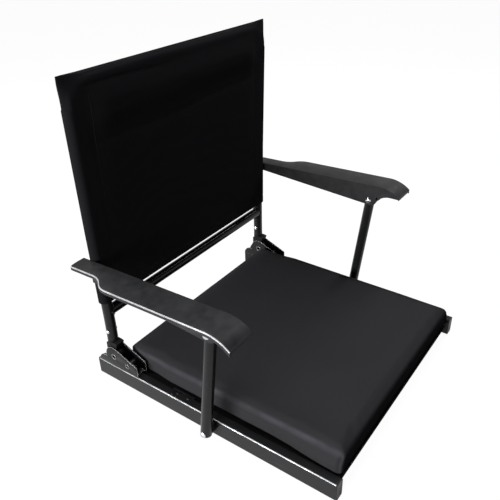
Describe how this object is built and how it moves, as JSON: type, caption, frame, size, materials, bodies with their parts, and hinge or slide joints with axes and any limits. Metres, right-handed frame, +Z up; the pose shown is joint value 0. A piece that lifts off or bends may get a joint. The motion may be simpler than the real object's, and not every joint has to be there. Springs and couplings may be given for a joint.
{
  "type": "folding outdoor seat with armrests",
  "caption": "Legless outdoor seat: padded square cushion between two steel rails, with a fabric back that folds forward and armrests on struts that fold down with it.",
  "frame": {"origin": "on the floor, under the middle of the two rails", "axes": "+X to the sitter's left, -Y to the front, +Z up"},
  "size_m": [0.556, 0.466, 0.5158],
  "materials": {
    "frame_paint": "black powder coat, satin",
    "back_paint": "black powder coat, satin",
    "strut_paint": "black powder coat, satin",
    "bracket_paint": "black paint on pressed steel, satin",
    "bracket_rivet": "black rivet, worn at its rim",
    "plain_steel": "plain zinc-plated sheet, satin",
    "zinc": "bright zinc plating",
    "cap_plastic": "moulded black polyethylene, matte",
    "arm_plastic": "moulded black polypropylene, fine grain",
    "board_ply": "film-faced plywood, dark brown",
    "pad_cloth": "black coated polyester cloth, plain weave",
    "sleeve_cloth": "black coated polyester cloth, plain weave"
  },
  "bodies": {
    "seat_frame": {"rail_left": "frame_paint", "rail_right": "frame_paint", "rail_caps_left": "cap_plastic", "rail_caps_right": "cap_plastic", "crossbar_front": "frame_paint", "crossbar_rear": "frame_paint", "middle_strap": "plain_steel", "strap_rivets_left": "zinc", "strap_rivets_right": "zinc", "seat_board": "board_ply", "board_screws": "zinc", "seat_cushion": "pad_cloth", "hinge_bracket_left": "bracket_paint", "hinge_bracket_right": "bracket_paint", "bracket_rivets_left": "bracket_rivet", "bracket_rivets_right": "bracket_rivet", "hinge_pivot_left": "bracket_rivet", "hinge_pivot_right": "bracket_rivet", "stop_pin_left": "bracket_rivet", "stop_pin_right": "bracket_rivet", "stop_sleeve_left": "plain_steel", "stop_sleeve_right": "plain_steel"},
    "back": {"upright_left": "back_paint", "upright_right": "back_paint", "knuckle_left": "cap_plastic", "knuckle_right": "cap_plastic", "knuckle_rivet_left": "zinc", "knuckle_rivet_right": "zinc", "top_tube": "back_paint", "low_crossbar": "back_paint", "back_sleeve": "sleeve_cloth", "arm_pivot_bolt_left": "zinc", "arm_pivot_bolt_right": "zinc", "arm_pivot_nut_left": "zinc", "arm_pivot_nut_right": "zinc", "arm_spacer_left": "cap_plastic", "arm_spacer_right": "cap_plastic"},
    "armrest_left": {"armrest_left": "arm_plastic", "strut_bolt_left": "zinc", "strut_bolt_nut_left": "zinc"},
    "armrest_right": {"armrest_right": "arm_plastic", "strut_bolt_right": "zinc", "strut_bolt_nut_right": "zinc"},
    "strut_left": {"strut_left": "strut_paint", "strut_plugs_left": "cap_plastic", "foot_rivet_left": "zinc", "foot_spacer_left": "cap_plastic"},
    "strut_right": {"strut_right": "strut_paint", "strut_plugs_right": "cap_plastic", "foot_rivet_right": "zinc", "foot_spacer_right": "cap_plastic"}
  },
  "joints": [
    {"name": "back_fold", "type": "hinge", "parent": "seat_frame", "child": "back", "pos_m": [0, 0.191, 0.053], "axis": [1, 0, 0], "range_deg": [0, 75]},
    {"name": "armrest_left_pivot", "type": "hinge", "parent": "back", "child": "armrest_left", "pos_m": [0.2303, 0.199, 0.2335], "axis": [1, 0, 0], "range_deg": [-68, 0]},
    {"name": "strut_left_pivot", "type": "hinge", "parent": "armrest_left", "child": "strut_left", "pos_m": [0.2408, -0.0424, 0.2203], "axis": [1, 0, 0], "range_deg": [0, 64]},
    {"name": "armrest_right_pivot", "type": "hinge", "parent": "back", "child": "armrest_right", "pos_m": [-0.2303, 0.199, 0.2335], "axis": [1, 0, 0], "range_deg": [-68, 0]},
    {"name": "strut_right_pivot", "type": "hinge", "parent": "armrest_right", "child": "strut_right", "pos_m": [-0.2408, -0.0424, 0.2203], "axis": [1, 0, 0], "range_deg": [0, 64]}
  ],
  "couplings": [
    {"joint": "armrest_left_pivot", "follows": "back_fold", "ratio": -0.89797},
    {"joint": "strut_left_pivot", "follows": "back_fold", "ratio": 0.84057},
    {"joint": "armrest_right_pivot", "follows": "back_fold", "ratio": -0.89797},
    {"joint": "strut_right_pivot", "follows": "back_fold", "ratio": 0.84057}
  ]
}
